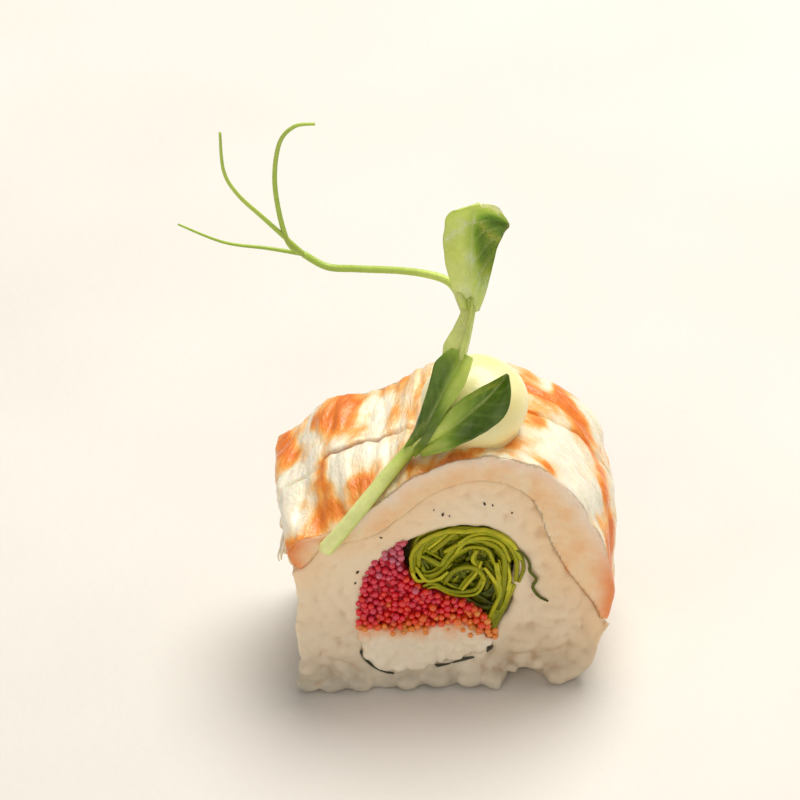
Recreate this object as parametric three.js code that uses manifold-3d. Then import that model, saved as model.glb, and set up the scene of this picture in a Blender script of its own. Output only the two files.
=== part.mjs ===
// One slice of an inside-out sushi roll: rice round a sleeve of nori with three fillings, cooked shrimp laid over
// the top, a dot of pale sauce and a pea shoot lying across the left shoulder.
// Millimetres, +Z up. The roll's axis runs along Y, the cut face looks to -Y, and the slice stands on z = 0.

import * as THREE from "three";
import { mergeVertices } from "three/addons/utils/BufferGeometryUtils.js";
import Module from "manifold-3d";

const wasm = await Module();
wasm.setup();

// ---- Driving dimensions ------------------------------------------------------------------------------------

const SLICE_LENGTH = 24;
const CUT_FACE = -SLICE_LENGTH / 2;
const BACK_FACE = SLICE_LENGTH / 2;
const AXIS_HEIGHT = 19;
const GAP = 0.3;

const SHRIMP_THICKNESS = 3.7;
const SHRIMP_EXTRA_AT_RIGHT = 2.6;
const SHRIMP_LEFT_END = 175;
const SHRIMP_RIGHT_END = -24;
const SEAM_TURN = 3;

const NORI_THICKNESS = 0.5;
const GRAIN_SIZE = 3.4;
const GRAIN_RELIEF = 0.9;

const DOT_RADIUS = 7.2;
const DOT_HEIGHT = 10;
const DOT_PLACE = new THREE.Vector3(3, -3.6, 37.2);

const STEM_RADIUS = 0.95;
const TENDRIL_RADIUS = 0.4;
const LEAF_THICKNESS = 0.6;

// The slice's outline on the cut face, [x, z], anticlockwise from the bottom right. It dips a little below
// z = 0, where the flat that the slice rests on is cut off.
const CUT_OUTLINE = [
  [13.5, -0.5], [18.2, 4], [19.9, 8.2], [21.4, 11.4], [21.2, 18], [19.8, 22.9], [17.1, 28.7], [13.9, 33.5],
  [9.4, 36.7], [4.2, 38], [-1.2, 37.3], [-5.8, 35.1], [-10.4, 31.2], [-14.6, 27.6], [-18.6, 25.9], [-22, 25.3],
  [-23.1, 23], [-22, 20.8], [-21.2, 17.6], [-21.2, 9], [-19.6, 2.4], [-15, -0.5],
];

// The sleeve of nori and what it holds, on the cut face, in the same directions.
const NORI_OUTLINE = [
  [4.2, 5.4], [7.8, 10.4], [9.1, 14.4], [9.4, 18.6], [8.9, 23.4], [5.2, 27.2], [-1.6, 27.5], [-8, 25.1],
  [-12.6, 20.4], [-14.1, 12.6], [-13, 5.6], [-9.2, 2.5], [-2.6, 3.2],
];
const SEAWEED_OUTLINE = [
  [6.4, 8.4], [8.8, 13.6], [9.8, 19], [8.8, 24.4], [4.6, 28], [-2, 27.7], [-6.4, 24.8], [-7, 21],
  [-4.6, 16.8], [0.6, 14.6], [3.4, 12.6],
];
const ROE_OUTLINE = [
  [6, 7.6], [5, 13], [-1, 18], [-6, 27.4], [-11, 26], [-16, 19], [-16, 10], [-11, 10.4], [-6, 9.6], [0, 10.8],
];

// ---- Solids and meshes -------------------------------------------------------------------------------------

function solidOf(geometry) {
  const bare = geometry.clone();
  bare.deleteAttribute("normal");
  bare.deleteAttribute("uv");
  const merged = mergeVertices(bare, 1e-4);
  const vertProperties = new Float32Array(merged.attributes.position.array);
  const triVerts = new Uint32Array(merged.index.array);
  return new wasm.Manifold(new wasm.Mesh({ numProp: 3, vertProperties, triVerts }));
}

function geometryOf(solid) {
  const mesh = solid.getMesh();
  const geometry = new THREE.BufferGeometry();
  geometry.setAttribute("position", new THREE.BufferAttribute(mesh.vertProperties, 3));
  geometry.setIndex(new THREE.BufferAttribute(mesh.triVerts, 1));
  geometry.computeVertexNormals();
  return geometry;
}

function joined(solids) {
  return solids.reduce((whole, piece) => whole.add(piece));
}

function named(name, solid, colour, roughness) {
  const material = new THREE.MeshStandardMaterial({ color: colour, roughness, metalness: 0 });
  const mesh = new THREE.Mesh(geometryOf(solid), material);
  mesh.name = name;
  return mesh;
}

// Moves every corner of a geometry to where the function sends it.
function moved(geometry, place) {
  const position = geometry.attributes.position;
  const point = new THREE.Vector3();
  for (let i = 0; i < position.count; i += 1) {
    point.fromBufferAttribute(position, i);
    place(point);
    position.setXYZ(i, point.x, point.y, point.z);
  }
  return geometry;
}

// ---- The roll's skin ---------------------------------------------------------------------------------------

function closedCurve(outline) {
  const points = outline.map(([x, z]) => new THREE.Vector3(x, 0, z));
  return new THREE.CatmullRomCurve3(points, true, "centripetal");
}

// The outline's distance from the axis at each whole degree, so that it can be looked up by angle.
const skinRadius = new Float64Array(361);
for (const point of closedCurve(CUT_OUTLINE).getSpacedPoints(2880)) {
  const turn = Math.atan2(point.z - AXIS_HEIGHT, point.x) * THREE.MathUtils.RAD2DEG;
  const degree = Math.round(THREE.MathUtils.euclideanModulo(turn, 360));
  skinRadius[degree] = Math.hypot(point.x, point.z - AXIS_HEIGHT);
}
skinRadius[360] = skinRadius[0];

function bell(angle, centre, width) {
  const away = THREE.MathUtils.euclideanModulo(angle - centre + 180, 360) - 180;
  return Math.exp(-((away / width) ** 2));
}

// Distance from the axis to the slice's skin. Behind the cut face the roll is fuller at both shoulders and
// narrower at the rice of its left side, and its back edge is slightly rounded.
function skin(angle, y) {
  const whole = THREE.MathUtils.euclideanModulo(angle, 360);
  const low = Math.floor(whole);
  const flat = THREE.MathUtils.lerp(skinRadius[low], skinRadius[low + 1], whole - low);
  const behind = Math.sin(THREE.MathUtils.clamp((y - CUT_FACE) / 13, 0, 1) * Math.PI / 2);
  const fuller = 4.8 * bell(angle, 146, 18) + 3.1 * bell(angle, 20, 22) - 3 * bell(angle, 200, 24);
  const rounding = 0.5 * Math.max(0, 1 - (BACK_FACE - y) / 2.5) ** 2;
  return flat + fuller * behind - rounding;
}

function onRoll(angle, y, lift) {
  const radius = skin(angle, y) + lift;
  const turn = angle * THREE.MathUtils.DEG2RAD;
  return new THREE.Vector3(radius * Math.cos(turn), y, AXIS_HEIGHT + radius * Math.sin(turn));
}

// ---- Rice --------------------------------------------------------------------------------------------------

function scatter(i, j, salt) {
  const value = Math.sin(i * 127.1 + j * 311.7 + salt * 74.7) * 43758.5453;
  return value - Math.floor(value);
}

// Height of the grain that lies at a place on the skin: each cell of a jittered grid holds one rounded grain.
function grainRelief(around, along, size) {
  const column = Math.floor(around / size);
  const row = Math.floor(along / size);
  let nearest = 2;
  for (let i = column - 1; i <= column + 1; i += 1) {
    for (let j = row - 1; j <= row + 1; j += 1) {
      const across = around / size - i - scatter(i, j, 1);
      const up = along / size - j - scatter(i, j, 2);
      nearest = Math.min(nearest, across * across + up * up);
    }
  }
  return Math.max(0, 1 - nearest);
}

// A closed drum round the axis whose wall stands at the skin, plus what the relief function adds.
function drum(sides, steps, relief) {
  const geometry = new THREE.CylinderGeometry(1, 1, SLICE_LENGTH, sides, steps);
  return moved(geometry, (point) => {
    const onWall = Math.hypot(point.x, point.z) > 0.5;
    const angle = Math.atan2(point.z, point.x) * THREE.MathUtils.RAD2DEG;
    const lift = onWall ? relief(angle, point.y) : 0;
    const spot = onWall ? onRoll(angle, point.y, lift) : new THREE.Vector3(0, point.y, AXIS_HEIGHT);
    point.copy(spot);
  });
}

// The grains stand out most along the two bottom edges.
function riceGrains(angle, y) {
  const around = THREE.MathUtils.euclideanModulo(angle, 360) * 20 * THREE.MathUtils.DEG2RAD;
  const relief = GRAIN_RELIEF * (1 + bell(angle, 228, 16) + bell(angle, 308, 16));
  return relief * (grainRelief(around, y, GRAIN_SIZE) - 0.5);
}

function belowGround() {
  const floor = new THREE.BoxGeometry(80, 80, 20);
  floor.translate(0, 0, -10);
  return solidOf(floor);
}

function rice() {
  const body = solidOf(drum(88, 11, riceGrains));
  return body.subtract(shrimpLayer(GAP)).subtract(core(NORI_OUTLINE, GAP)).subtract(belowGround());
}

// ---- Nori and fillings -------------------------------------------------------------------------------------

// A closed outline run through the whole slice and a little past both faces, moved outwards by the margin.
// The core drifts to the left and rises a little towards the back.
function core(outline, margin, length = SLICE_LENGTH + 2) {
  const curve = closedCurve(outline);
  const shape = new THREE.Shape();
  const count = 44;
  for (let i = 0; i < count; i += 1) {
    const point = curve.getPointAt(i / count);
    const tangent = curve.getTangentAt(i / count);
    const corner = new THREE.Vector2(point.x + tangent.z * margin, point.z - tangent.x * margin);
    if (i === 0) shape.moveTo(corner.x, corner.y);
    else shape.lineTo(corner.x, corner.y);
  }
  const geometry = new THREE.ExtrudeGeometry(shape, { depth: length, steps: 1, bevelEnabled: false });
  geometry.rotateX(Math.PI / 2);
  geometry.translate(0, length / 2, 0);
  return solidOf(moved(geometry, (point) => {
    const share = (point.y - CUT_FACE) / SLICE_LENGTH;
    point.x -= 1.4 * share;
    point.z += 0.7 * share;
  }));
}

function throughSlice(solid) {
  const slab = new THREE.BoxGeometry(100, SLICE_LENGTH, 100);
  return solid.intersect(solidOf(slab));
}

function nori() {
  return throughSlice(core(NORI_OUTLINE, 0).subtract(core(NORI_OUTLINE, -NORI_THICKNESS)));
}

function insideNori() {
  return core(NORI_OUTLINE, -NORI_THICKNESS - GAP);
}

function seaweedSalad() {
  return throughSlice(core(SEAWEED_OUTLINE, 0).intersect(insideNori()));
}

function roe() {
  const heap = core(ROE_OUTLINE, 0).subtract(core(SEAWEED_OUTLINE, GAP)).intersect(insideNori());
  return throughSlice(heap);
}

function creamCheese() {
  const rest = insideNori().subtract(core(ROE_OUTLINE, GAP)).subtract(core(SEAWEED_OUTLINE, GAP));
  const pieces = throughSlice(rest).decompose();
  pieces.sort((one, other) => other.volume() - one.volume());
  return pieces[0];
}

// ---- Shrimp ------------------------------------------------------------------------------------------------

// Both shrimps as one sheet bent over the rice, thickest on the right shoulder, blunt at the left end and
// thinner at the right one, whose lines wander along the roll. A margin makes the sheet larger on every side,
// for cutting its bed out of the rice.
function shrimpLayer(margin) {
  const sheet = new THREE.BoxGeometry(1, SLICE_LENGTH + 2 * margin, 1, 34, 10, 1);
  return solidOf(moved(sheet, (point) => {
    const share = point.x + 0.5;
    const isTop = point.z > 0;
    const left = SHRIMP_LEFT_END + 2.5 * Math.sin(point.y * 0.75) + 1.5 * Math.sin(point.y * 1.9) + 3 * margin;
    const right = SHRIMP_RIGHT_END + 2 * Math.sin(point.y * 0.6 + 1) - 3 * margin;
    const angle = THREE.MathUtils.lerp(left, right, share);
    const edge = Math.min(share / 0.03, (1 - share) / 0.1);
    const full = SHRIMP_THICKNESS + SHRIMP_EXTRA_AT_RIGHT * bell(angle, 14, 32);
    const depth = full * (0.25 + 0.75 * Math.sin(Math.min(edge, 1) * Math.PI / 2));
    const groove = 0.35 * Math.max(0, Math.sin(angle * 0.31 + point.y * 0.45)) ** 4;
    const top = margin > 0 ? 2 : -groove;
    point.copy(onRoll(angle, THREE.MathUtils.clamp(point.y, -20, 20), isTop ? top : -depth - margin));
  }));
}

// The seam between the two shrimps: a thin upright cut across the roll, turned a little about Z.
function seam() {
  const blade = new THREE.BoxGeometry(80, GAP, 80);
  blade.rotateZ(SEAM_TURN * THREE.MathUtils.DEG2RAD);
  blade.translate(0, 0.3, 30);
  return solidOf(blade);
}

function shrimps() {
  const halves = shrimpLayer(0).subtract(seam()).decompose();
  halves.sort((one, other) => one.boundingBox().min[1] - other.boundingBox().min[1]);
  return halves;
}

// ---- Sauce dot ---------------------------------------------------------------------------------------------

// A piped dot: a foot, a full belly and a small soft peak, cut to the shrimp that it stands on.
function sauceDot(shoot) {
  const profile = new THREE.SplineCurve([
    new THREE.Vector2(DOT_RADIUS * 0.84, -3),
    new THREE.Vector2(DOT_RADIUS * 0.86, 0.4),
    new THREE.Vector2(DOT_RADIUS, DOT_HEIGHT * 0.36),
    new THREE.Vector2(DOT_RADIUS * 0.93, DOT_HEIGHT * 0.6),
    new THREE.Vector2(DOT_RADIUS * 0.66, DOT_HEIGHT * 0.83),
    new THREE.Vector2(DOT_RADIUS * 0.3, DOT_HEIGHT * 0.95),
    new THREE.Vector2(0.001, DOT_HEIGHT),
  ]).getPoints(14);
  profile[profile.length - 1].x = 0;
  const foot = new THREE.Vector2(0, profile[0].y);
  const lathe = new THREE.LatheGeometry([foot, ...profile], 24);
  lathe.rotateX(Math.PI / 2);
  lathe.translate(DOT_PLACE.x, DOT_PLACE.y, DOT_PLACE.z);
  const bed = solidOf(drum(72, 10, () => GAP));
  return solidOf(lathe).subtract(bed).subtract(shoot);
}

// ---- Pea shoot ---------------------------------------------------------------------------------------------

function tube(points, radius, sides, steps) {
  const route = new THREE.CatmullRomCurve3(points, false, "centripetal");
  const section = new THREE.Shape();
  for (let i = 0; i < sides; i += 1) {
    const turn = i / sides * 2 * Math.PI;
    const corner = new THREE.Vector2(radius * Math.cos(turn), radius * Math.sin(turn));
    if (i === 0) section.moveTo(corner.x, corner.y);
    else section.lineTo(corner.x, corner.y);
  }
  return solidOf(new THREE.ExtrudeGeometry(section, { steps, extrudePath: route, bevelEnabled: false }));
}

// A leaf: a sheet along a rib from its foot to its tip, folded up along the rib by the fold angle. The lower
// its bluntness, the rounder its ends; the higher its taper, the nearer to its tip it is broadest. The side
// vector says which way its width lies at the foot.
function leaf({ rib, side, width, fold, bluntness, taper, thickness }) {
  const sheet = new THREE.BoxGeometry(2, 1, 1, 6, 14, 1);
  const curve = new THREE.CatmullRomCurve3(rib, false, "centripetal");
  return solidOf(moved(sheet, (point) => {
    const along = THREE.MathUtils.clamp(point.y + 0.5, 0, 1);
    const spot = curve.getPointAt(along);
    const tangent = curve.getTangentAt(along);
    const across = side.clone().addScaledVector(tangent, -side.dot(tangent)).normalize();
    const upward = new THREE.Vector3().crossVectors(across, tangent).normalize();
    const half = width / 2 * Math.max(0.12, Math.sin(Math.PI * along ** taper) ** bluntness);
    const reach = point.x * half;
    const lift = Math.abs(reach) * Math.tan(fold * (1 - 0.35 * Math.abs(point.x)));
    spot.addScaledVector(across, reach);
    spot.addScaledVector(upward, lift + point.z * thickness);
    point.copy(spot);
  }));
}

const vec = (x, y, z) => new THREE.Vector3(x, y, z);

// The stem lies up the left shoulder along the front edge, rises in front of the dot and leans back over it.
const FORK = vec(2.3, -2.8, 55.6);
const STEM_ROUTE = [
  vec(-17.9, -13, 24.3), vec(-15, -12.9, 28.1), vec(-12, -11.7, 31.5), vec(-8.9, -9.8, 34.4), vec(-6.1, -8, 36.8),
  vec(-3.4, -8.1, 41.4), vec(-1.4, -8.2, 46.6), vec(0.7, -6, 51), FORK,
];
const TENDRIL_FORK = vec(-19.4, 4.2, 60.8);
const TENDRIL_ROUTE = [
  vec(1.9, -3.2, 55.4), vec(0.8, -3, 58.2), vec(-0.5, -2.2, 59.8), vec(-2.9, -1, 60.2), vec(-6.7, 0.4, 60.1),
  vec(-12.5, 2, 59.6), vec(-16.3, 3.2, 59.3), TENDRIL_FORK,
];
const CURL_ROUTE = [
  TENDRIL_FORK, vec(-21.6, 4.6, 63), vec(-23, 6, 70.4), vec(-22.4, 7, 76.4), vec(-20.4, 7, 79.2), vec(-17.6, 6.6, 79.8),
];
const BRANCH_ROUTE = [
  TENDRIL_FORK, vec(-24.4, 5, 66), vec(-28, 5.6, 69.8), vec(-29.8, 6, 73.4), vec(-30.2, 6, 79.4),
];
const THREAD_ROUTE = [TENDRIL_FORK, vec(-24, 5.6, 61), vec(-30, 5.4, 62.4), vec(-36, 5, 65.8)];

function peaShoot(margin) {
  const stem = tube(STEM_ROUTE, STEM_RADIUS + margin, 8, 34);
  const tendril = tube(TENDRIL_ROUTE, 0.6 + margin, 6, 18);
  const curl = tube(CURL_ROUTE, TENDRIL_RADIUS + margin, 6, 16);
  const branch = tube(BRANCH_ROUTE, TENDRIL_RADIUS + margin, 6, 12);
  const thread = tube(THREAD_ROUTE, TENDRIL_RADIUS + margin, 6, 8);
  const thickness = LEAF_THICKNESS + 2 * margin;
  const upper = leaf({
    rib: [vec(2.4, -2.8, 55), vec(2.5, -2.8, 60), vec(2.5, -2.4, 64.5), vec(2.6, -2, 68.6), vec(3, -2.2, 71), vec(3.6, -3.6, 72.4)],
    side: vec(1, 0.1, 0), width: 8.2 + 2 * margin, fold: 0.15, bluntness: 0.6, taper: 1.7, thickness,
  });
  const lowerLeft = leaf({
    rib: [vec(-6, -8.4, 36.8), vec(-4.2, -9.6, 41), vec(-2.3, -9.6, 46), vec(-0.6, -8.4, 50.3), vec(1, -6.2, 53)],
    side: vec(0.7, -0.6, 0), width: 4.6 + 2 * margin, fold: 0.5, bluntness: 0.4, taper: 0.9, thickness,
  });
  const lowerRight = leaf({
    rib: [vec(-5, -8.8, 37.4), vec(-1.7, -11.2, 41.5), vec(1.7, -11.4, 44.7), vec(4.7, -10.8, 47.5), vec(6.8, -9.6, 49.7)],
    side: vec(0.5, -0.5, -0.7), width: 5.6 + 2 * margin, fold: 0.35, bluntness: 0.65, taper: 0.9, thickness,
  });
  return joined([stem, tendril, curl, branch, thread, upper, lowerLeft, lowerRight]);
}

// ---- The slice ---------------------------------------------------------------------------------------------

const [shrimpFront, shrimpBack] = shrimps();

const group = new THREE.Group();
group.name = "sushi_roll_slice";
group.add(named("rice", rice(), 0xe6d8c0, 0.5));
group.add(named("nori", nori(), 0x1d231c, 0.55));
group.add(named("cream_cheese", creamCheese(), 0xe8d8bd, 0.45));
group.add(named("roe", roe(), 0xb42630, 0.2));
group.add(named("seaweed_salad", seaweedSalad(), 0x84861c, 0.35));
group.add(named("shrimp_front", shrimpFront, 0xf2b98a, 0.35));
group.add(named("shrimp_back", shrimpBack, 0xf2a766, 0.35));
group.add(named("sauce_dot", sauceDot(peaShoot(GAP)), 0xfbeeb0, 0.2));
group.add(named("pea_shoot", peaShoot(0), 0x8aa340, 0.4));

export default group;
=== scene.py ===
import math
import random

import bmesh
import bpy
from mathutils import Matrix, Vector, noise
from mathutils.bvhtree import BVHTree


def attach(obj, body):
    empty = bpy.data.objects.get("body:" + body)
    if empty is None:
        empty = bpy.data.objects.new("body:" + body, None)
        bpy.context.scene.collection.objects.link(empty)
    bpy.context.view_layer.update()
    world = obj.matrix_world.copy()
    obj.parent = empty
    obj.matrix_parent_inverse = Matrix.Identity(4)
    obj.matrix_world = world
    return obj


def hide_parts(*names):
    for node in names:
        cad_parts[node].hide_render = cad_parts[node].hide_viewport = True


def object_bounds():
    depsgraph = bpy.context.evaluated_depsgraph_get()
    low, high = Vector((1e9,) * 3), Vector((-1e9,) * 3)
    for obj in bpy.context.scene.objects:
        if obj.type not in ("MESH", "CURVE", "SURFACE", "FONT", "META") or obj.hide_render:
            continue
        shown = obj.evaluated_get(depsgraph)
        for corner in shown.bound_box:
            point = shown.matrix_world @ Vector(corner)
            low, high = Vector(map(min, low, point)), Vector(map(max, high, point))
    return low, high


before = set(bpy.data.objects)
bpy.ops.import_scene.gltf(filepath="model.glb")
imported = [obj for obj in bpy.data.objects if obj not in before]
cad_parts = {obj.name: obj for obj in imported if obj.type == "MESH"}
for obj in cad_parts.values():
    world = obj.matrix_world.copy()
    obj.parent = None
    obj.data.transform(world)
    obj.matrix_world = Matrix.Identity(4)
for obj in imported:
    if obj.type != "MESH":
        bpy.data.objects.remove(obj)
cad_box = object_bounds()
scene = bpy.context.scene
rng = random.Random(8)

# ---- Studio ----------------------------------------------
# A plain pale table, a broad soft lamp above and a little behind the slice, and weak ones in front and at
# its right. The camera looks down at the cut face from a metre away, slightly from the left.

VIEW_AZIMUTH = math.radians(-4)
VIEW_ELEVATION = math.radians(35)
CAMERA_DISTANCE = 1.0
LENS = 335
TABLE_SIZE = 6.0
ROOM_LIGHT = 0.32


def placed(name, data):
    """A new object in the scene."""
    made = bpy.data.objects.new(name, data)
    scene.collection.objects.link(made)
    return made


def mesh_of(bm, name):
    """A mesh made of a bmesh, which is then freed."""
    mesh = bpy.data.meshes.new(name)
    bm.to_mesh(mesh)
    bm.free()
    return mesh


middle = (cad_box[0] + cad_box[1]) / 2
to_camera = Vector((
    math.sin(VIEW_AZIMUTH) * math.cos(VIEW_ELEVATION),
    -math.cos(VIEW_AZIMUTH) * math.cos(VIEW_ELEVATION),
    math.sin(VIEW_ELEVATION),
))
camera = placed("camera", bpy.data.cameras.new("camera"))
camera.data.lens = LENS
camera.data.clip_start = 0.05
camera.location = middle + to_camera * CAMERA_DISTANCE
camera.rotation_mode = "QUATERNION"
camera.rotation_quaternion = (-to_camera).to_track_quat("-Z", "Y")
scene.camera = camera
scene.view_settings.view_transform = "Standard"


def colour(code):
    """The linear colour of a screen colour written as six hexadecimal digits."""
    channels = [int(code[i:i + 2], 16) / 255 for i in (0, 2, 4)]
    linear = [c / 12.92 if c <= 0.04045 else ((c + 0.055) / 1.055) ** 2.4 for c in channels]
    return (*linear, 1)


def add_lamp(name, place, size, watts, tone):
    """A round lamp that faces the middle of the slice."""
    lamp = bpy.data.lights.new(name, "AREA")
    lamp.shape = "DISK"
    lamp.size = size
    lamp.energy = watts
    lamp.color = colour(tone)[:3]
    holder = placed(name, lamp)
    holder.location = place
    holder.rotation_mode = "QUATERNION"
    holder.rotation_quaternion = (Vector(place) - middle).to_track_quat("Z", "Y")


add_lamp("window", (0.14, 0.26, 0.66), 0.55, 5.6, "fffaf0")
add_lamp("bounce", (-0.30, -0.66, 0.30), 0.7, 1.4, "ffeedd")
add_lamp("side", (0.60, -0.22, 0.30), 0.5, 0.4, "fff2e0")

world = bpy.data.worlds.new("pale room")
world.use_nodes = True
world.node_tree.nodes["Background"].inputs["Color"].default_value = colour("f8f4ee")
world.node_tree.nodes["Background"].inputs["Strength"].default_value = ROOM_LIGHT
scene.world = world


def add_node(tree, kind, settings=None, **inputs):
    """Adds a shader node. An input takes a number, a colour, or the socket that feeds it."""
    made = tree.nodes.new(kind)
    for key, value in (settings or {}).items():
        setattr(made, key, value)
    for key, value in inputs.items():
        socket = made.inputs[int(key[1:])] if key[1:].isdigit() else made.inputs[key.replace("_", " ")]
        if isinstance(value, bpy.types.NodeSocket):
            tree.links.new(value, socket)
        else:
            socket.default_value = value
    return made


def new_group(name, inputs, output):
    """Starts a node group with float inputs and one float output; gives the tree and its two end nodes."""
    tree = bpy.data.node_groups.new(name, "ShaderNodeTree")
    for key, value in inputs.items():
        socket = tree.interface.new_socket(name=key, in_out="INPUT", socket_type="NodeSocketFloat")
        socket.default_value = value
    tree.interface.new_socket(name=output, in_out="OUTPUT", socket_type="NodeSocketFloat")
    return tree, tree.nodes.new("NodeGroupInput"), tree.nodes.new("NodeGroupOutput")


# Soft blotches over the surface, of a size in millimetres: 0 to 1, with most of it in between.
blotches, asked, given = new_group(
    "blotches", {"Size": 4.0, "Detail": 2.0, "Low": 0.35, "High": 0.65}, "Mask",
)
where = add_node(blotches, "ShaderNodeTexCoord")
pitch = add_node(blotches, "ShaderNodeMath", {"operation": "DIVIDE"}, _0=1000.0, _1=asked.outputs["Size"])
spots = add_node(
    blotches, "ShaderNodeTexNoise", Vector=where.outputs["Object"], Scale=pitch.outputs[0],
    Detail=asked.outputs["Detail"], Roughness=0.55,
)
spread = add_node(
    blotches, "ShaderNodeMapRange", Value=spots.outputs["Fac"],
    _1=asked.outputs["Low"], _2=asked.outputs["High"],
)
blotches.links.new(spread.outputs["Result"], given.inputs["Mask"])


def blotch(tree, size, low=0.35, high=0.65, detail=2.0):
    made = tree.nodes.new("ShaderNodeGroup")
    made.node_tree = blotches
    for key, value in {"Size": size, "Detail": detail, "Low": low, "High": high}.items():
        made.inputs[key].default_value = value
    return made.outputs["Mask"]


def new_material(name, **settings):
    """A material with a Principled shader, whose plain numbers are set on its own sockets."""
    material = bpy.data.materials.new(name)
    material.use_nodes = True
    shader = material.node_tree.nodes["Principled BSDF"]
    for key, value in settings.items():
        shader.inputs[key.replace("_", " ")].default_value = value
    return material, material.node_tree, shader


def attribute(tree, name, output="Fac"):
    return add_node(tree, "ShaderNodeAttribute", {"attribute_name": name}).outputs[output]


def ramp(tree, factor, *stops):
    """Colours along a 0 to 1 value, each given as its place and its screen colour."""
    made = add_node(tree, "ShaderNodeValToRGB", Fac=factor)
    elements = made.color_ramp.elements
    while len(elements) < len(stops):
        elements.new(0.5)
    for element, (place, code) in zip(elements, stops):
        element.position = place
        element.color = colour(code)
    return made.outputs["Color"]


def mix(tree, factor, first, second):
    """The second colour laid over the first, as much as the factor says."""
    return add_node(tree, "ShaderNodeMix", {"data_type": "RGBA"}, _0=factor, _6=first, _7=second).outputs[2]


def calculated(tree, operation, *values):
    inputs = {f"_{i}": value for i, value in enumerate(values)}
    return add_node(tree, "ShaderNodeMath", {"operation": operation}, **inputs).outputs[0]


def scaled(tree, value, factor, offset=0.0):
    return calculated(tree, "MULTIPLY_ADD", value, factor, offset)


def times(tree, first, second):
    return calculated(tree, "MULTIPLY", first, second)


def plus(tree, first, second):
    return calculated(tree, "ADD", first, second)


def place_share(tree, axis, low, high):
    """0 to 1 as a place's X or Z goes from one value to another, in metres."""
    place = add_node(tree, "ShaderNodeTexCoord").outputs["Object"]
    split = add_node(tree, "ShaderNodeSeparateXYZ", Vector=place)
    return add_node(tree, "ShaderNodeMapRange", Value=split.outputs[axis], _1=low, _2=high).outputs["Result"]


def finish(tree, shader, tone, roughness, height, distance, strength):
    """Gives a shader its colour, its roughness unless that is None, and bumps some metres high."""
    tree.links.new(tone, shader.inputs["Base Color"])
    if roughness is not None:
        tree.links.new(roughness, shader.inputs["Roughness"])
    bump = add_node(tree, "ShaderNodeBump", Height=height, Distance=distance, Strength=strength)
    tree.links.new(bump.outputs["Normal"], shader.inputs["Normal"])


table_paint, tree, shader = new_material("table paint", Roughness=0.6)
tone = ramp(tree, blotch(tree, 60), (0, "e1dfdb"), (1, "e6e4e1"))
finish(tree, shader, tone, None, blotch(tree, 2), 0.0001, 0.3)
bm = bmesh.new()
bmesh.ops.create_grid(bm, x_segments=1, y_segments=1, size=TABLE_SIZE / 2)
table = placed("table", mesh_of(bm, "table"))
table.data.materials.append(table_paint)

# ---- Rice ------------------------------------------------
# Short plump grains of cooked rice, pressed together round the nori. The knife has smeared the grains on both
# cut faces almost smooth; at the sides and along the bottom they stand out one by one.

MM = 0.001
HALF_SLICE = 12.0
ROLL_AXIS = Vector((0, 0, 19))
FAR_OUT = 60
CORE_CENTRE = Vector((-2, 0, 15.5))
GRAIN_HALVES = (2.9, 1.35, 1.2)
SHORT_GRAIN_HALVES = (2.0, 1.35, 1.25)
RICE_VOXEL = 0.312
# Where the cut edge of the nori shows between the rice and the fillings, in degrees round its middle.
NORI_SHOWS = ((214, 243), (264, 309))
# Where the shrimps cover the rice, in degrees round the roll.
COVERED = (-18, 171)
# On the outside and on the cut faces: how deep the rice's core lies under the grains, and the least distance
# between two of them.
SKIN_BED = 1.0
SKIN_SPACING = 2.0
FACE_BED = 0.75
FACE_SPACING = 1.7
# How low a grain may reach, so that none lies in the table.
GRAIN_FLOOR = 0.02
# How fast the painted shade in the creases between the grains grows darker as they get sharper.
CREASE_SHADE_GAIN = 17.5
# Grains that were squeezed out at the foot of the slice: their place and the way their long side points.
LOOSE_GRAINS = (
    ((-19.8, -11.5, 1.3), (1, 0.3, 0.1)), ((-20.2, -10.0, 3.0), (0.4, 1, 0.3)),
    ((-19.2, -12.0, 3.2), (1, -0.2, 0.5)), ((-19.8, -11.8, 4.6), (0.6, 0.2, 1)),
    ((-16.6, -12.0, 1.5), (1, 0, 0.3)), ((-13.0, -12.2, 1.2), (1, 0, 0.1)),
    ((-6.6, -12.3, 1.2), (1, 0.1, 0)), ((-2.6, -12.1, 1.4), (0.6, -0.2, 0.3)),
    ((2.0, -12.2, 1.4), (1, 0, 0.3)), ((5.2, -12.6, 1.2), (1, -0.4, 0)),
    ((13.6, -12.5, 1.3), (1, -0.3, 0.2)), ((15.8, -11.9, 2.0), (1, 0.3, 0.6)),
    ((17.2, -10.6, 3.2), (0.2, 0.5, 1)), ((16.8, -7.8, 1.3), (0, 1, 0.1)), ((17.6, -2.0, 2.2), (0.1, 1, 0.5)),
)
# The hollow under the front of the rice, right of the middle, where no grains reach the table: its place and
# size, how deep it is at the front, and how far back it goes.
HOLLOW_X = 9.2
HOLLOW_HALF_WIDTH = 3.4
HOLLOW_HEIGHT = 2.4
HOLLOW_DEPTH = 3.2
HOLLOW_BACK = -8.5


def clamp(value, low=0, high=1):
    return min(max(value, low), high)


def cad_copy(node):
    """A CAD node's mesh in millimetres, with its loose triangles merged."""
    bm = bmesh.new()
    bm.from_mesh(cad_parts[node].data)
    bmesh.ops.scale(bm, vec=(1 / MM, 1 / MM, 1 / MM), verts=bm.verts)
    bmesh.ops.remove_doubles(bm, verts=bm.verts, dist=0.004)
    bm.normal_update()
    return bm


def wall_of(node):
    """A CAD node's surface for finding places on it, in millimetres."""
    bm = cad_copy(node)
    wall = BVHTree.FromBMesh(bm)
    bm.free()
    return wall


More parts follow.
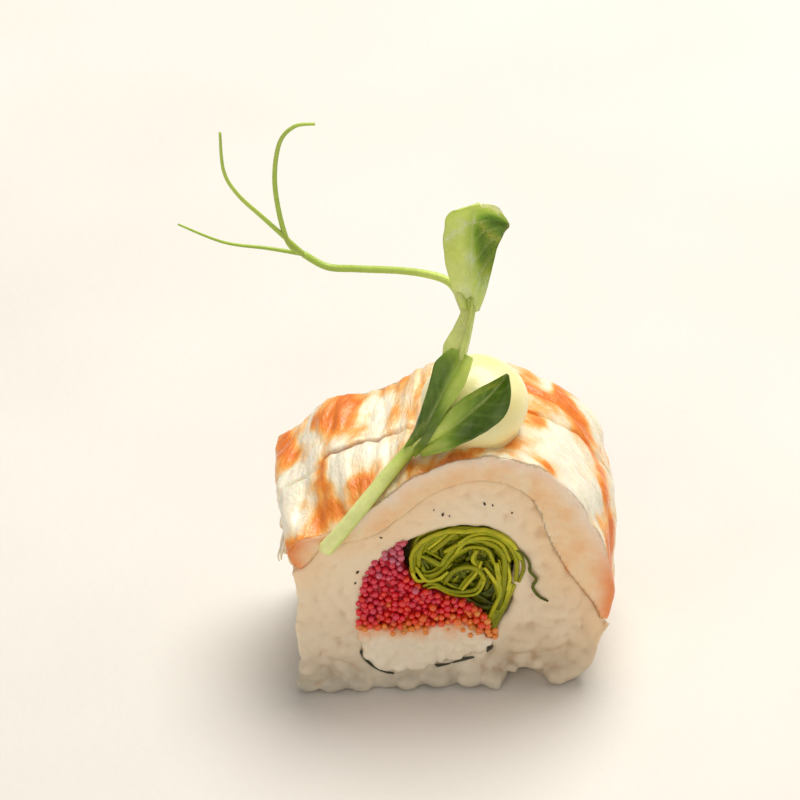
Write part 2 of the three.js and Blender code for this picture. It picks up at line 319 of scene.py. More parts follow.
def remeshed(bm, voxel, smoothing):
    """One even skin round everything in the mesh, smoothed a number of times."""
    holder = placed("rough", mesh_of(bm, "rough"))
    modifier = holder.modifiers.new("skin", "REMESH")
    modifier.mode = "VOXEL"
    modifier.voxel_size = voxel
    even = bpy.data.meshes.new_from_object(holder.evaluated_get(bpy.context.evaluated_depsgraph_get()))
    bpy.data.meshes.remove(holder.data)
    result = bmesh.new()
    result.from_mesh(even)
    bpy.data.meshes.remove(even)
    smooth(result, result.verts, smoothing)
    return result


def smooth(bm, verts, rounds):
    for _ in range(rounds):
        bmesh.ops.smooth_vert(
            bm, verts=list(verts), factor=0.5, use_axis_x=True, use_axis_y=True, use_axis_z=True,
        )
    bm.normal_update()


def piece_of(bm, name, material):
    """An object at the origin made of a mesh worked in millimetres, shaded smooth."""
    bmesh.ops.scale(bm, vec=(MM, MM, MM), verts=bm.verts)
    piece = placed(name, mesh_of(bm, name))
    piece.data.shade_smooth()
    piece.data.materials.append(material)
    return piece


def scattered(bm, wanted, spacing, tries):
    """Points with their normals spread over the triangles that pass a test, none nearer than the spacing."""
    faces = [face for face in bm.faces if wanted(face)]
    areas = [face.calc_area() for face in faces]
    found = []
    for face in rng.choices(faces, areas, k=tries):
        low, high = sorted((rng.random(), rng.random()))
        first, second, third = (vert.co for vert in face.verts)
        point = first * low + second * (high - low) + third * (1 - high)
        if all((point - other).length_squared > spacing ** 2 for other, _ in found):
            found.append((point, face.normal.copy()))
    return found


def ripple(x, y, z):
    """Smooth noise at a place, between -1 and 1."""
    return noise.noise(Vector((x, y, z)))


def any_way():
    return Vector((rng.gauss(0, 1), rng.gauss(0, 1), rng.gauss(0, 1))).normalized()


def add_grain(bm, centre, facing, long_way, halves=GRAIN_HALVES):
    """One grain with its flattest side facing a way and its long side along another; gives its corners."""
    facing = Vector(facing)
    across = facing.cross(Vector(long_way)).normalized()
    along = across.cross(facing).normalized()
    turn = Matrix((along, across, facing.normalized())).transposed().to_4x4()
    size = rng.uniform(0.9, 1.1)
    stretch = Matrix.Diagonal([half * size for half in halves]).to_4x4()
    matrix = Matrix.Translation(centre) @ turn @ stretch
    return bmesh.ops.create_icosphere(bm, subdivisions=2, radius=1, matrix=matrix)["verts"]


def around(point):
    """The angle of a point round the roll's axis, in degrees from the right, -90 to 270."""
    angle = math.degrees(math.atan2(point.z - ROLL_AXIS.z, point.x))
    return angle if angle > -90 else angle + 360


def across_roll(centre, angle, radius, y):
    """A place round a centre in the plane across the roll."""
    turn = math.radians(angle)
    return Vector((centre.x + radius * math.cos(turn), y, centre.z + radius * math.sin(turn)))


def way_from(centre, point):
    """The way from a centre to a point, straight across the roll."""
    return Vector((point.x - centre.x, 0, point.z - centre.z))


def outward(point):
    return way_from(ROLL_AXIS, point).normalized()


def in_slice(y):
    """Keeps a place along the roll just inside the cut faces."""
    return clamp(y, 0.1 - HALF_SLICE, HALF_SLICE - 0.1)


def shrimp_gap(point):
    """How far a point is from the skin of the nearer shrimp."""
    return min(wall.find_nearest(point)[3] for wall in shrimp_walls)


def reach(wall, centre, angle, y):
    """How far it is from a centre to a closed wall, at an angle in the plane across the roll."""
    hit = wall.ray_cast(Vector((centre.x, in_slice(y), centre.z)), across_roll(Vector(), angle, 1, 0))
    return hit[3] or 0


def skin_radius(walls, angle, y):
    """How far the outside of some closed walls is from the roll's axis."""
    way = across_roll(Vector(), angle, 1, 0)
    start = Vector((0, in_slice(y), ROLL_AXIS.z)) + way * FAR_OUT
    gaps = [hit[3] for hit in (wall.ray_cast(start, -way) for wall in walls) if hit[3] is not None]
    return FAR_OUT - min(gaps, default=FAR_OUT)


def hold_in(vert, proud):
    """Moves a corner in until it stands no more than a little proud of the rice's outside."""
    way = way_from(ROLL_AXIS, vert.co)
    limit = skin_radius([rice_wall], around(vert.co), vert.co.y) + proud
    if way.length > limit:
        vert.co -= way * (1 - limit / way.length)


def shows_nori(angle):
    return any(low <= angle % 360 <= high for low, high in NORI_SHOWS)


def is_in_sleeve(point):
    """Whether a place on a cut face belongs to the nori and its fillings."""
    way = way_from(CORE_CENTRE, point)
    angle = math.degrees(math.atan2(way.z, way.x))
    overlap = 0.5 if shows_nori(angle) else 1.6
    return way.length < reach(nori_wall, CORE_CENTRE, angle, point.y) - overlap


nori_wall = wall_of("nori")
rice_wall = wall_of("rice")
shrimp_walls = [wall_of("shrimp_front"), wall_of("shrimp_back")]
rice_cad = cad_copy("rice")
rice_form = rice_cad.copy()
for vert in rice_form.verts:
    is_outside = vert.normal.dot(way_from(CORE_CENTRE, vert.co)) > 0
    if is_outside and not COVERED[0] < around(vert.co) < COVERED[1]:
        vert.co -= outward(vert.co) * SKIN_BED
    vert.co.y *= 1 - FACE_BED / HALF_SLICE


def is_bare_skin(face):
    centre = face.calc_center_median()
    is_outside = face.normal.dot(way_from(CORE_CENTRE, centre)) > 3
    is_covered = COVERED[0] - 4 < around(centre) < COVERED[1] + 2
    return is_outside and abs(face.normal.y) < 0.5 and not is_covered


def is_cut_face(face):
    return abs(face.normal.y) > 0.99


for point, normal in scattered(rice_cad, is_bare_skin, SKIN_SPACING, tries=3000):
    lean = any_way() * 0.2
    depth = rng.uniform(1.3, 1.7) if point.z > 5 else rng.uniform(1.0, 1.5)
    for vert in add_grain(rice_form, point - normal * depth, normal + lean, any_way()):
        hold_in(vert, 0.35)
        vert.co.y = clamp(vert.co.y, -HALF_SLICE - 0.1, HALF_SLICE + 0.1)
        vert.co.z = max(vert.co.z, GRAIN_FLOOR)

for point, normal in scattered(rice_cad, is_cut_face, FACE_SPACING, tries=8000):
    high = clamp((point.z - 4) / 12)
    lean = any_way() * rng.uniform(0.1, 0.9 - 0.6 * high)
    centre = point - normal * rng.uniform(0.5 + 0.45 * high, 1.4 - 0.3 * high)
    for vert in add_grain(rice_form, centre, normal + lean, outward(point).cross(normal) + any_way()):
        hold_in(vert, 0.25)
        if is_in_sleeve(vert.co):
            vert.co.y = normal.y * (HALF_SLICE - 1.3)
        proud = HALF_SLICE + 0.05 + 0.75 * (1 - high) ** 1.5
        vert.co.y = clamp(vert.co.y, -proud, proud)
        vert.co.z = max(vert.co.z, GRAIN_FLOOR)

for face in (-1, 1):
    for angle in range(0, 360, 7):
        # A ring of grains closes the rice round the fillings, except where the nori's edge shows.
        if not shows_nori(angle):
            size = reach(nori_wall, CORE_CENTRE, angle, face * HALF_SLICE) + rng.uniform(0.1, 0.5)
            spot = across_roll(CORE_CENTRE, angle, size, face * (HALF_SLICE - rng.uniform(0.95, 1.15)))
            tangent = across_roll(Vector(), angle + 90, 1, 0)
            for vert in add_grain(rice_form, spot, (0, face, 0), tangent, SHORT_GRAIN_HALVES):
                vert.co.y = clamp(vert.co.y, -HALF_SLICE - 0.05, HALF_SLICE + 0.05)

for place, long_way in LOOSE_GRAINS:
    for vert in add_grain(rice_form, Vector(place), (0.2, -0.5, 1), long_way, SHORT_GRAIN_HALVES):
        vert.co.z = max(vert.co.z, GRAIN_FLOOR)

rice_form = remeshed(rice_form, RICE_VOXEL, 1)
for vert in rice_form.verts:
    aside = (vert.co.x - HOLLOW_X) / HOLLOW_HALF_WIDTH
    depth = max(0, 1 - aside ** 2) * max(0, 1 - vert.co.z / HOLLOW_HEIGHT) ** 0.5
    if vert.co.y < HOLLOW_BACK:
        vert.co.y += HOLLOW_DEPTH * depth * (HOLLOW_BACK - vert.co.y) / (HOLLOW_BACK + HALF_SLICE)
crease_shade = rice_form.verts.layers.float.new("crease_shade")
# The rice near the shrimps is painted peach, as light reflected onto it from them.
shrimp_bounce = rice_form.verts.layers.float.new("shrimp_bounce")
for vert in rice_form.verts:
    pulls = [edge.other_vert(vert).co - vert.co for edge in vert.link_edges]
    pull = sum(pulls, Vector()) / len(pulls)
    vert[crease_shade] = clamp(pull.dot(vert.normal) * CREASE_SHADE_GAIN - 0.1)
    vert[shrimp_bounce] = math.exp(-(shrimp_gap(vert.co) / 3.0) ** 2)

cooked_rice, tree, shader = new_material(
    "cooked rice", Subsurface_Weight=0.25, Subsurface_Scale=0.0011, Coat_Weight=0.3, Coat_Roughness=0.16,
    Subsurface_Radius=(1.0, 0.75, 0.5),
)
# Darker and greyer towards the foot and lighter at the top: painted shade at the foot and painted light on
# top, with the grey partly the rice's own more see-through look there.
rising = place_share(tree, "Z", 0.001, 0.022)
tone = ramp(tree, rising, (0, "b9b5a6"), (0.25, "dccbb0"), (0.5, "eddabd"), (1, "fbe5c3"))
tone = mix(tree, scaled(tree, blotch(tree, 4.5), 0.5), tone, colour("f5e8d2"))
# Painted peach light reflected from the shrimps onto the rice near them.
tone = mix(tree, scaled(tree, attribute(tree, "shrimp_bounce"), 0.6), tone, colour("fbd2a2"))
# Tan towards the right side: painted shade on that side.
tone = mix(tree, scaled(tree, place_share(tree, "X", 0.004, 0.020), 0.35), tone, colour("e3bf8c"))
# Painted shade in the creases between the grains, stronger towards the foot.
crease_shade_weight = times(tree, attribute(tree, "crease_shade"), scaled(tree, rising, -0.45, 0.7))
tone = mix(tree, crease_shade_weight, tone, colour("c29a6e"))
finish(
    tree, shader, tone, scaled(tree, blotch(tree, 3), 0.2, 0.32),
    blotch(tree, 0.7, 0.2, 0.8, 3.0), 0.00012, 0.45,
)

rice = piece_of(rice_form, "rice_grains", cooked_rice)
rice_cad.free()
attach(rice, "root")
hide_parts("rice")

# ---- Nori ------------------------------------------------
# A dark sheet of pressed seaweed rolled into a sleeve between the rice and the fillings. Damp from the rice,
# it is slightly wavy, and its cut edge shows as a thin dark line. The knife left crumbs of it on the rice.

NORI_STEPS = 16
NORI_SEGMENTS = 120
NORI_THICKNESS = 0.24
# Crumbs of nori on the front cut face: their place across and up, and half their length.
NORI_CRUMBS = (
    (-1.9, 28.8, 0.3), (-1.0, 28.5, 0.16), (3.7, 30.3, 0.3), (4.8, 30.0, 0.2), (-10.2, 25.4, 0.22),
    (-13.4, 19.8, 0.3), (-13.7, 18.0, 0.22), (9.8, 5.6, 0.2), (11.4, 2.4, 0.22), (2.9, 1.1, 0.3),
    (-3.1, 29.6, 0.14), (7.4, 28.6, 0.16),
)

bm = bmesh.new()
bmesh.ops.create_circle(bm, segments=NORI_SEGMENTS, radius=1)
loops = [list(bm.verts)]
for step in range(NORI_STEPS):
    last = loops[-1]
    edges = {edge for vert in last for edge in vert.link_edges if all(v in last for v in edge.verts)}
    made = bmesh.ops.extrude_edge_only(bm, edges=list(edges))
    loops.append([item for item in made["geom"] if isinstance(item, bmesh.types.BMVert)])
    bmesh.ops.translate(bm, verts=loops[-1], vec=(0, 0, 1))
for vert in bm.verts:
    share = 2 * vert.co.z / NORI_STEPS - 1
    angle = math.degrees(math.atan2(vert.co.y, vert.co.x))
    wave = noise.noise(across_roll(Vector(), angle, 3, share * 3))
    depth = -0.14 - 0.3 * wave if shows_nori(angle) else 1.0
    y = share * (HALF_SLICE - depth)
    inner = reach(nori_wall, CORE_CENTRE, angle, y)
    vert.co = across_roll(CORE_CENTRE, angle, inner + 0.2 + 0.16 * wave, y)
bmesh.ops.recalc_face_normals(bm, faces=bm.faces)
bmesh.ops.solidify(bm, geom=list(bm.faces), thickness=NORI_THICKNESS)
for x, z, size in NORI_CRUMBS:
    matrix = Matrix.Translation((x, -HALF_SLICE - 0.06, z)) @ Matrix.Rotation(rng.uniform(0, 3), 4, "Y")
    matrix @= Matrix.Diagonal((size, 0.16, size * 0.55, 1))
    bmesh.ops.create_icosphere(bm, subdivisions=2, radius=1, matrix=matrix)

damp_nori, tree, shader = new_material("damp nori", Coat_Weight=0.25, Coat_Roughness=0.3)
tone = ramp(tree, blotch(tree, 1.2, 0.3, 0.7, 3.0), (0, "1f200f"), (0.6, "343519"), (1, "4c4d26"))
finish(
    tree, shader, tone, scaled(tree, blotch(tree, 2), 0.25, 0.4),
    blotch(tree, 0.5, 0.2, 0.8, 3.0), 0.0001, 0.6,
)

nori = piece_of(bm, "nori_sleeve", damp_nori)
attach(nori, "root")
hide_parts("nori")

# ---- Cream cheese ----------------------------------------
# A soft white bar of cream cheese along the bottom of the sleeve. It has crumbled a little under the knife,
# so that its cut face is lumpy, and juice from the roe has tinted its top edge.

CHEESE_VOXEL = 0.3
cheese_form = remeshed(cad_copy("cream_cheese"), CHEESE_VOXEL, 3)
for vert in cheese_form.verts:
    lump = noise.noise(vert.co * 0.32 + Vector((7, 0, 3)))
    crumb = abs(ripple(vert.co.x * 0.75, vert.co.y * 0.5, vert.co.z * 0.75))
    vert.co += vert.normal * (0.1 + 0.5 * lump + 1.4 * min(crumb, 0.35))
smooth(cheese_form, cheese_form.verts, 1)

soft_cheese, tree, shader = new_material(
    "soft cheese", Subsurface_Weight=0.3, Subsurface_Scale=0.001, Coat_Weight=0.2, Coat_Roughness=0.28,
    Subsurface_Radius=(1.0, 0.8, 0.6),
)
rising = place_share(tree, "Z", 0.0075, 0.0105)
tinted = times(tree, rising, scaled(tree, blotch(tree, 2.2, 0.3, 0.6), 0.8, 0.2))
tone = mix(tree, scaled(tree, blotch(tree, 5), 0.6), colour("f6ecd8"), colour("f2e2c6"))
tone = mix(tree, tinted, tone, colour("f09a50"))
finish(
    tree, shader, tone, scaled(tree, blotch(tree, 2.5), 0.2, 0.3),
    blotch(tree, 1.2, 0.2, 0.8), 0.00014, 0.5,
)

cheese = piece_of(cheese_form, "cheese_bar", soft_cheese)
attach(cheese, "root")
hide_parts("cream_cheese")

# ---- Roe -------------------------------------------------
# Tiny round fish eggs, clear and wet, packed over a solid bed. Most are crimson, those at the upper left are
# duller and pinkish as a painted sheen of light on them, and those along the cheese are orange red. A few
# have rolled onto the cheese.

BEAD_RADIUS = 0.5
# The layers of eggs: how deep each lies and the least distance between its eggs.
BEAD_LAYERS = ((-0.1, 0.82), (0.35, 0.8))
# How far the solid bed under the eggs stays behind the cut faces.
ROE_BED = 0.35
# The height of the roe's lower edge, along the cheese.
ROE_EDGE = 10.3
# Eggs that lie on the cheese and at the foot of the seaweed, on the front cut face.
STRAY_BEADS = (
    (-8.6, 9.4), (-7.1, 9.6), (-4.2, 9.4), (-1.2, 9.9), (0.9, 9.5), (2.4, 9.8), (1.9, 8.6), (3.0, 9.0),
)

roe_cad = cad_copy("roe")
roe_form = bmesh.new()
tint = roe_form.verts.layers.float.new("tint")


def add_bead(point, radius):
    """One egg, with a tint of its own: 0 is pinkish, 0.5 crimson and 1 orange."""
    low = max(0, 1 - (point.z - ROE_EDGE) / (1.5 + 0.22 * (point.x + 12)))
    # Duller and pinkish at the upper left: a painted sheen of light.
    painted_sheen = clamp((point.z - 17) / 6) * clamp((-3 - point.x) / 5)
    shade = clamp(0.5 + 0.45 * low - 0.42 * painted_sheen + rng.gauss(0, 0.13))
    matrix = Matrix.Translation(point) @ Matrix.Scale(radius, 4)
    for vert in bmesh.ops.create_icosphere(roe_form, subdivisions=2, radius=1, matrix=matrix)["verts"]:
        vert[tint] = shade


for depth, spacing in BEAD_LAYERS:
    for point, normal in scattered(roe_cad, is_cut_face, spacing, tries=11000):
        sunk = depth + 0.5 * noise.noise(point * 0.4) + rng.uniform(-0.14, 0.14)
        add_bead(point - normal * sunk, BEAD_RADIUS * rng.uniform(0.75, 1.12))
for x, z in STRAY_BEADS:
    add_bead(Vector((x, -HALF_SLICE - 0.25, z)), BEAD_RADIUS * rng.uniform(0.7, 0.9))

clear_roe, tree, shader = new_material(
    "clear roe", Roughness=0.14, Subsurface_Weight=0.5, Subsurface_Scale=0.0008, Coat_Weight=0.7,
    Coat_Roughness=0.06, Subsurface_Radius=(1.0, 0.2, 0.12),
)
tone = ramp(
    tree, attribute(tree, "tint"), (0, "cc7088"), (0.22, "d83a5c"), (0.5, "e60c2c"), (0.72, "f23a10"),
    (1, "f8943a"),
)
finish(tree, shader, tone, None, blotch(tree, 0.6), 0.00005, 0.3)

beads = piece_of(roe_form, "roe_beads", clear_roe)
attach(beads, "root")
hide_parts("roe")

roe_bed, tree, shader = new_material(
    "roe bed", Roughness=0.35, Subsurface_Weight=0.3, Subsurface_Scale=0.0008,
)
tone = ramp(tree, blotch(tree, 1.0), (0, "b00c1e"), (1, "d8182a"))
finish(tree, shader, tone, None, blotch(tree, 0.9), 0.0003, 0.8)
for vert in roe_cad.verts:
    vert.co.y *= 1 - ROE_BED / HALF_SLICE
bed = piece_of(roe_cad, "roe_bed", roe_bed)
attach(bed, "root")

# ---- Seaweed salad ---------------------------------------
# Thin wet ribbons of olive green seaweed, laid along the roll in one bundle and curled over where the knife
# cut them, with dark gaps in between. One strand has come loose and lies on the rice.

STRAND_STEPS = 18
# How far the bed under the ribbons, painted dark as the shade in the gaps between them, stays behind the cut
# faces.
SALAD_BED = 1.4
SALAD_CENTRE = Vector((1.6, 0, 20.2))
SCATTERED_RIBBONS = 130
RIBBON_COPIES = 4
# The ribbons that lie uppermost on a cut face, as places across and up; each has copies close by it.
TOP_RIBBONS = (
    ((-6.2, 19.5), (-6.3, 22.0), (-5.4, 24.1), (-3.6, 25.4), (-1.2, 26.3), (1.2, 26.4), (3.7, 26.2),
     (6.1, 25.2), (8.0, 23.2), (8.8, 20.9)),
    ((0.2, 24.2), (2.2, 25.3), (4.6, 25.4), (6.6, 24.3), (8.0, 22.1), (8.5, 19.7), (8.0, 17.3)),
    ((-1.7, 22.6), (0.2, 23.9), (2.7, 24.3), (5.1, 23.6), (6.4, 21.5), (6.8, 18.8), (6.6, 15.5), (5.6, 12.5)),
    ((-5.1, 18.8), (-3.7, 18.7), (-2.2, 19.4), (-0.7, 21.7), (0.7, 22.9), (2.2, 23.4), (4.2, 22.7),
     (5.1, 20.3)),
    ((-5.1, 22.1), (-3.7, 21.2), (-2.4, 20.3), (-1.5, 21.8), (-0.2, 23.6)),
    ((5.6, 20.3), (6.1, 17.3), (6.4, 14.9), (5.6, 12.5), (4.6, 9.9)),
    ((3.9, 19.7), (4.9, 17.9), (5.7, 16.1), (5.9, 13.7), (5.1, 11.3)),
    ((7.8, 16.7), (7.3, 14.9), (6.6, 13.1), (5.6, 11.3), (4.9, 9.3)),
    ((-4.6, 16.9), (-3.2, 17.3), (-1.2, 15.9), (0.7, 15.3), (2.7, 15.9), (3.7, 18.2)),
    ((-1.7, 17.3), (-0.5, 19.2), (1.2, 20.0), (2.9, 19.4), (3.9, 17.6)),
    ((0.7, 16.1), (1.7, 17.6), (2.7, 18.8), (3.4, 20.9)),
    ((-5.6, 20.3), (-4.6, 17.9), (-2.7, 18.1), (-1.2, 19.3)),
    ((2.7, 22.7), (2.2, 20.9), (3.4, 19.1)),
    ((-5.9, 19.4), (-5.6, 21.8), (-4.4, 23.9), (-2.2, 25.1), (0.2, 25.4)),
    ((-3.7, 22.7), (-1.7, 24.2), (-0.2, 26.0)),
    ((-0.2, 22.3), (1.2, 24.4), (3.7, 25.0), (6.1, 23.6), (7.6, 20.6)),
    ((7.1, 20.3), (7.5, 17.9), (7.1, 15.5)),
)
LOOSE_STRAND = (
    (7.9, 22.6), (9.2, 21.6), (9.9, 19.9), (9.9, 18.9), (10.8, 17.6), (10.3, 16.3), (11.1, 14.7),
    (12.4, 13.8),
)


def straight_tube(sides, steps):
    """A closed tube of radius 1 from z 0 to z 1, with rings of corners along it."""
    bm = bmesh.new()
    bmesh.ops.create_cone(
        bm, cap_ends=True, segments=sides, radius1=1, radius2=1, depth=1,
        matrix=Matrix.Translation((0, 0, 0.5)),
    )
    for step in range(1, steps):
        bmesh.ops.bisect_plane(
            bm, geom=[*bm.verts, *bm.edges, *bm.faces], plane_co=(0, 0, step / steps), plane_no=(0, 0, 1),
        )
    return mesh_of(bm, "tube")


def on_route(route, share):
    """A place on the smooth curve through a list of points, 0 at its start and 1 at its end."""
    span = clamp(share) * (len(route) - 1)
    i = min(int(span), len(route) - 2)
    t = span - i
    a, b, c, d = (route[clamp(j, 0, len(route) - 1)] for j in (i - 1, i, i + 1, i + 2))
    bend = (2 * a - 5 * b + 4 * c - d) * t ** 2
    return 0.5 * (2 * b + (c - a) * t + bend + (3 * b - a - 3 * c + d) * t ** 3)


def heading(route, share):
    """The direction in which the curve runs there."""
    return (on_route(route, share + 0.01) - on_route(route, share - 0.01)).normalized()


def bend_tube(bm, tube, steps, route, radius, flat=1.0, side=(0.13, 0.31, 0.94)):
    """Adds a tube bent along a route; gives its corners with their shares of the way. radius(share) is its
    half width, and flat times that its half thickness, which lies along the side."""
    first = len(bm.verts)
    bm.from_mesh(tube)
    bm.verts.ensure_lookup_table()
    made = bm.verts[first:]
    side = Vector(side)
    rings = []
    for step in range(steps + 1):
        share = step / steps
        ahead = heading(route, share)
        side = (side - ahead * side.dot(ahead)).normalized()
        rings.append((on_route(route, share), side, ahead.cross(side), radius(share)))
    shares = []
    for vert in made:
        share = vert.co.z
        spot, side, over, size = rings[round(share * steps)]
        vert.co = spot + side * vert.co.x * size * flat + over * vert.co.y * size
        shares.append((vert, share))
    return shares


salad_cad = cad_copy("seaweed_salad")
salad_wall = BVHTree.FromBMesh(salad_cad)
strand_tube = straight_tube(6, STRAND_STEPS)
salad_form = bmesh.new()
tint = salad_form.verts.layers.float.new("tint")


def add_ribbon(route, size, shade, flat=0.5):
    """A ribbon with narrow ends, its thin side facing out of the cut face."""
    fade = rng.uniform(-0.15, 0.15)

    def swell(share):
        return size * (0.35 + 0.65 * math.sin(math.pi * (0.06 + 0.88 * share)) ** 0.4)

    side = (0.2, 0.9, 0.3)
    for vert, share in bend_tube(salad_form, strand_tube, STRAND_STEPS, route, swell, flat, side):
        shadow = 0.3 * clamp((17 - vert.co.z) / 5)
        vert[tint] = clamp(shade - shadow + fade * (2 * share - 1))


for face in (-1, 1):
    for _ in range(SCATTERED_RIBBONS):
        share = rng.uniform(0.1, 0.84) ** 0.7
        depth = rng.uniform(0.5, 1.5)
        start = rng.uniform(0, 360)
        sweep = rng.choice((-1, 1)) * rng.uniform(60, 170) / (0.6 + share)
        drift = rng.uniform(-0.3, 0.08)
        route = []
        for step in range(7):
            angle = start + sweep * step / 6
            wall = reach(salad_wall, SALAD_CENTRE, angle, 0)
            size = max(wall * (share + drift * step / 6) + rng.gauss(0, 0.25), 0.4)
            route.append(across_roll(SALAD_CENTRE, angle, size, face * (HALF_SLICE - depth)))
        add_ribbon(route, rng.uniform(0.28, 0.46), rng.uniform(0.05, 0.5), 0.55)
    for ribbon in TOP_RIBBONS:
        for copy in range(RIBBON_COPIES):
            shift = Vector((rng.gauss(0, 0.45), 0, rng.gauss(0, 0.45))) if copy else Vector()
            depth = rng.uniform(-0.3, 0.3) + 0.2 * copy
            centre = SALAD_CENTRE if face < 0 else SALAD_CENTRE + Vector((-1.4, 0, 0.7))
            route = []
            for x, z in ribbon:
                way = way_from(SALAD_CENTRE, Vector((x, 0, z))) * rng.uniform(0.93, 1.0)
                lift = face * (HALF_SLICE - depth + rng.uniform(-0.1, 0.1))
                route.append(centre + way + shift + Vector((0, lift, 0)))
            add_ribbon(route, rng.uniform(0.22, 0.42), rng.uniform(0.5, 1) - 0.1 * copy)
add_ribbon([Vector((x, -HALF_SLICE - 0.25, z)) for x, z in LOOSE_STRAND], 0.25, 0.2, 0.8)

wet_seaweed, tree, shader = new_material(
    "wet seaweed", Subsurface_Weight=0.2, Subsurface_Scale=0.0006, Coat_Weight=0.2, Coat_Roughness=0.1,
    Specular_IOR_Level=0.2,
)
tone = ramp(tree, attribute(tree, "tint"), (0, "2f3200"), (0.3, "686c00"), (0.65, "b0b008"), (1, "e4de3c"))
tone = mix(tree, scaled(tree, blotch(tree, 1.4), 0.35), tone, colour("6f8208"))
finish(tree, shader, tone, scaled(tree, blotch(tree, 1.5), 0.15, 0.22), blotch(tree, 0.5), 0.00008, 0.6)

strands = piece_of(salad_form, "seaweed_strands", wet_seaweed)
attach(strands, "root")
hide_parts("seaweed_salad")

# The bed is painted nearly black green: painted shade deep between the ribbons.
salad_shade_bed, tree, shader = new_material("seaweed shade bed", Roughness=0.5)
tone = ramp(tree, blotch(tree, 1.0), (0, "1c1d02"), (1, "3c3d06"))
finish(tree, shader, tone, None, blotch(tree, 1.0), 0.0003, 0.8)
for vert in salad_cad.verts:
    vert.co.y *= 1 - SALAD_BED / HALF_SLICE
salad_core = piece_of(salad_cad, "seaweed_bed", salad_shade_bed)
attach(salad_core, "root")

# ---- Shrimp ----------------------------------------------
# Two cooked shrimps, split open and laid side by side over the rice, so that their backs show. The flesh is
# white and flaky, with patches and streaks of orange skin; where the knife went through, it is peach inside.

SHRIMP_VOXEL = 0.36
# The angle of the top of the roll, and how far the shrimps' outside is from its axis.
TOP_ANGLE = 80
SHRIMP_RADIUS = 20
# The seam between the shrimps: where it is along the roll at the middle, how much it slants, and the angle
# round which it gapes.
SEAM_Y = 0.3
SEAM_SLANT = 0.052
OPEN_ANGLE = 131
# How deep the orange rim and the pale rim reach into the cut flesh.
RIM_DEPTH = 1.9
PALE_RIM_DEPTH = 1.4
# Patches on the outside: angle round the roll and place along it, their two half sizes in degrees and
# millimetres, and how orange they are; a minus sign makes a white patch.
PATCHES = (
    (161, 6.5, 5, 4.8, 1.3), (140, 6.2, 9, 3.6, 1.0), (141, 5.2, 5, 2, 0.5), (133, 9.5, 6, 2.5, 0.7),
    (137, 12, 6, 1.5, 0.5), (149, -4.4, 4, 4, 0.8), (135, -7.8, 6, 2.6, 1.1), (158, -8, 4.5, 3.4, 0.9),
    (150, -9.5, 7, 2.2, 0.7), (171, -11.6, 8, 1.6, 1.3), (115, 11, 8, 1.6, 0.6), (112, 4.5, 6, 4, 0.5),
    (112, -9, 5, 1.6, 0.9), (99, -11.5, 10, 1, 0.8), (89, -11, 7, 1.6, 1.2), (84, 9, 8, 2, 0.6),
    (96, 7, 6, 2, 0.5), (57, 9, 5, 3, 0.8), (54, 5.5, 5, 2.2, 0.8), (55, -0.5, 5, 2.6, 0.8),
    (48, 5.5, 4, 2, 0.9), (42, 9.5, 5, 2.6, 1.1), (38, 6.5, 6, 2.4, 1.2), (34, 3.2, 5, 2, 1.2),
    (28, 0.5, 4, 1.8, 1.1), (24, -2.4, 4, 1.8, 1.1), (17, -4.5, 6, 2, 1.1), (8, -7.5, 7, 2.4, 1.1),
    (-2, -10, 9, 2.6, 1.3), (-14, -11.4, 10, 3, 1.5), (66, -8.2, 5, 1.5, 0.9), (54, -11, 4, 1, 0.6),
    (-8, 5, 8, 3, 0.8), (8, 8, 7, 3, 0.6),
    (151, 8.1, 2.5, 3.5, -1.0), (155, 1.1, 6, 2.6, -1.1), (161, -3.8, 5, 4, -1.1), (169, -5.9, 6, 3.5, -1.0),
    (142, -3.7, 3.5, 4.5, -1.0), (129, -2.5, 8, 1.8, -1.1), (122, 5.1, 5, 4.4, -1.1), (47, 10, 2.5, 3, -1.0),
    (26, 9, 6, 3.5, -0.9), (45, -1.5, 5, 2.4, -1.1), (39, -4, 6, 2.4, -1.1), (50, -5.5, 6, 2.4, -0.9),
    (36, -9, 8, 2.4, -0.9), (24, -8, 6, 2, -0.8), (75, 3, 10, 3, -0.6), (10, 0, 8, 4, -0.6),
)


def arc_of(point):
    """The way round the outside from the top of the roll, in millimetres, more to the left."""
    turn = around(point)
    return math.radians((turn - 360 if turn > 235 else turn) - TOP_ANGLE) * SHRIMP_RADIUS


def flesh_ways(point):
    """A place in the flesh across its fibres and along them: they run back and down the left shoulder, and
    slant forwards down the right one."""
    arc = arc_of(point)
    left = clamp((arc + 5) / 10)
    across = left * (0.92 * arc + 0.3 * point.y) + (1 - left) * (0.9 * point.y - 0.42 * arc)
    along = left * (0.95 * point.y - 0.3 * arc) - (1 - left) * (0.9 * arc + 0.42 * point.y)
    return across, along


def orange_at(point):
    """How orange the skin is at a place on the shrimps, 0 to 1."""
    arc = arc_of(point)
    across, along = flesh_ways(point)
    streak = ripple(across * 0.5, along * 0.2, 4)
    turn = TOP_ANGLE + math.degrees(arc / SHRIMP_RADIUS)
    turn += 6 * ripple(arc * 0.25, point.y * 0.3, 11)
    y = point.y + 1.3 * ripple(arc * 0.25, point.y * 0.3, 21)
    total = 0.36 + 0.34 * streak
    for angle, along_roll, width, length, strength in PATCHES:
        off_centre = ((turn - angle) / width) ** 2 + ((y - along_roll) / length) ** 2
        total += 0.62 * strength * math.exp(-off_centre)
    return clamp(total)


def seam_gap(point):
    """How far behind the seam between the shrimps a place is."""
    return point.y - SEAM_Y - SEAM_SLANT * point.x


def crevice_at(point):
    """How close a place is to the open part of the seam, on the left shoulder."""
    opened = clamp(1.6 - abs(around(point) - OPEN_ANGLE) / 12)
    return opened * math.exp(-(seam_gap(point) / 0.32) ** 2)


